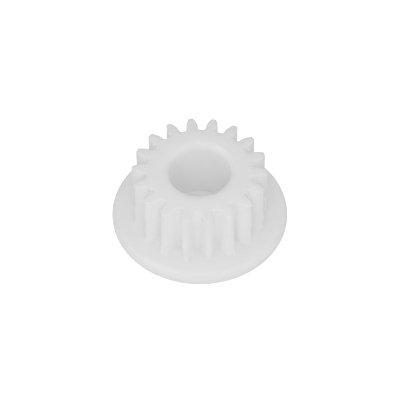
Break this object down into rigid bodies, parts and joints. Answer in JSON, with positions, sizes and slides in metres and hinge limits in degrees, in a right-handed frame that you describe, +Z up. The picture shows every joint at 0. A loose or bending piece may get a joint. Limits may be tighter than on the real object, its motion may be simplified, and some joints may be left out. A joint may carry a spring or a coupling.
{
  "type": "flanged spur gear",
  "caption": "Small moulded plastic spur gear with straight involute teeth, a wider thin round flange at one end and a plain through bore with a rounded mouth.",
  "frame": {"origin": "on the gear axis, on the flat underside of the flange that the gear stands on", "axes": "+Z up along the bore axis from the flange towards the toothed end; the middle of one tooth lies on +X"},
  "size_m": [0.0262, 0.0262, 0.0108],
  "materials": {
    "natural_acetal": "satin, slightly translucent natural white"
  },
  "bodies": {
    "root": {"spur_gear": "natural_acetal"}
  },
  "joints": []
}
